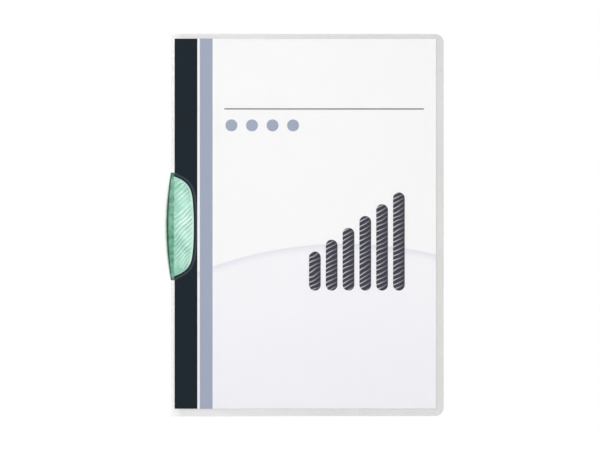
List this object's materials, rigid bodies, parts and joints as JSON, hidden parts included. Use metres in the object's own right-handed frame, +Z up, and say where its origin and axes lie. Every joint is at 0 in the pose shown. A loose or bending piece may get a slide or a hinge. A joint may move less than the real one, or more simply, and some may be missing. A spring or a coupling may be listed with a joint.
{
  "type": "clip folder",
  "caption": "Flat film folder for A4 sheets with a see-through front cover and a rippled side clip that turns out on a pivot.",
  "frame": {"origin": "middle of the folder's outline on the underside of the back cover, on the table", "axes": "+Z up from the table through the closed folder, +Y up the page, +X from the spine to the free edge"},
  "size_m": [0.2237, 0.307, 0.0064],
  "materials": {
    "back_film": "frosted translucent",
    "clear_film": "clear, smooth",
    "printed_card": "matt white with printed bands",
    "clip_plastic": "frosted translucent mint green",
    "rivet_plastic": "natural, satin"
  },
  "bodies": {
    "folder_back": {"back_cover": "back_film", "title_sheet": "printed_card", "pivot_rivet": "rivet_plastic"},
    "cover": {"front_cover": "clear_film"},
    "clip": {"side_clip": "clip_plastic"}
  },
  "joints": [
    {"name": "cover_hinge", "type": "hinge", "parent": "folder_back", "child": "cover", "pos_m": [-0.10933, 0, 0.00502], "axis": [0, -1, 0], "range_deg": [0, 175]},
    {"name": "clip_turn", "type": "hinge", "parent": "folder_back", "child": "clip", "pos_m": [-0.1022, 0.05, 0], "axis": [0, 0, -1], "range_deg": [0, 90]}
  ]
}
